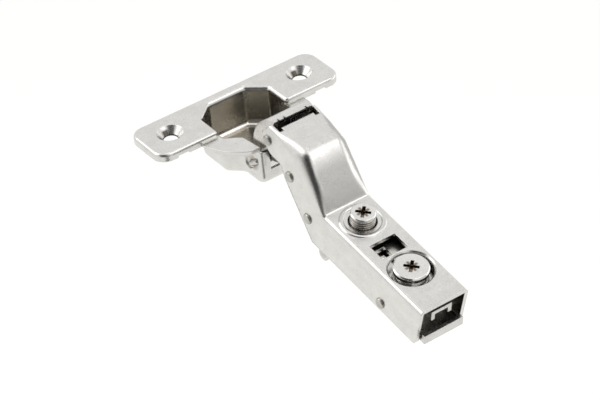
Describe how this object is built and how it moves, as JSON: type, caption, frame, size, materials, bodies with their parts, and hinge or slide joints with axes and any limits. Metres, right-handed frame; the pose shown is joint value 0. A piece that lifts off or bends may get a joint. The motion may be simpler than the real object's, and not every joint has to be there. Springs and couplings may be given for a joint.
{
  "type": "concealed cabinet hinge",
  "caption": "Clip-on concealed cabinet hinge with a drawn cup, screw flange, two folding levers and a cranked arm with side and depth screws.",
  "frame": {"origin": "axis of the bored hole at the face of the door, where the flange rests", "axes": "+Z out of the door, +Y along the flange and every lever axle, +X from the cup towards the arm"},
  "size_m": [0.1046, 0.063, 0.0398],
  "materials": {
    "plated_steel": "satin nickel plate on pressed sheet steel",
    "pin_steel": "plated drawn wire, riveted ends",
    "screw_steel": "plated turned steel",
    "spring_wire": "plain spring wire"
  },
  "bodies": {
    "cup": {"hinge_cup": "plated_steel", "cup_double_pin": "pin_steel"},
    "inner_lever": {"inner_lever": "plated_steel"},
    "outer_lever": {"outer_lever": "plated_steel"},
    "arm": {"hinge_arm": "plated_steel", "inner_lever_rivet": "pin_steel", "outer_lever_rivet": "pin_steel", "spring_rivet": "pin_steel", "closing_spring": "spring_wire", "guide_pin": "pin_steel"},
    "adjusting_plate": {"adjusting_plate": "plated_steel", "cam_washer": "screw_steel"},
    "side_screw": {"side_screw": "screw_steel"},
    "depth_cam": {"depth_cam": "screw_steel"},
    "carrier": {"carrier": "plated_steel", "hook_pin": "pin_steel", "clip_lever_pin": "pin_steel", "clip_spring": "spring_wire"},
    "clip_lever": {"clip_lever": "plated_steel"}
  },
  "joints": [
    {"name": "lever_fold", "type": "hinge", "parent": "cup", "child": "inner_lever", "pos_m": [0.0092, 0, -0.0051], "axis": [0, 1, 0], "range_deg": [-120.91, 0]},
    {"name": "arm_fold", "type": "hinge", "parent": "inner_lever", "child": "arm", "pos_m": [0.01926, 0, 0.008], "axis": [0, 1, 0], "range_deg": [0, 21]},
    {"name": "outer_lever_fold", "type": "hinge", "parent": "cup", "child": "outer_lever", "pos_m": [0.012, 0, -0.0032], "axis": [0, 1, 0], "range_deg": [-129.5, 0]},
    {"name": "overlay_tilt", "type": "hinge", "parent": "arm", "child": "adjusting_plate", "pos_m": [0.068, 0, -0.02038], "axis": [0, 1, 0], "range_deg": [-2.37, 2.37]},
    {"name": "side_screw_turn", "type": "hinge", "parent": "adjusting_plate", "child": "side_screw", "pos_m": [0.05094, 0, -0.00623], "axis": [0.1771, 0, 0.9842], "range_deg": [-360, 360]},
    {"name": "depth_cam_turn", "type": "hinge", "parent": "adjusting_plate", "child": "depth_cam", "pos_m": [0.07229, 0, -0.01008], "axis": [0.1771, 0, 0.9842], "range_deg": [-135, 135]},
    {"name": "depth_slide", "type": "slide", "parent": "adjusting_plate", "child": "carrier", "axis": [0.9842, 0, -0.1771], "range_m": [-0.0015, 0.0015]},
    {"name": "clip_release", "type": "hinge", "parent": "carrier", "child": "clip_lever", "pos_m": [0.07487, 0, -0.01948], "axis": [0, -1, 0], "range_deg": [0, 15], "stiffness_Nm_per_rad": 0.05, "springref_deg": -11.46}
  ],
  "couplings": [
    {"joint": "arm_fold", "follows": "lever_fold", "ratio": -0.1729},
    {"joint": "outer_lever_fold", "follows": "lever_fold", "ratio": 1.0704},
    {"joint": "side_screw_turn", "follows": "overlay_tilt", "ratio": 151.58},
    {"joint": "depth_cam_turn", "follows": "depth_slide", "rad_per_m": 1570.8}
  ]
}
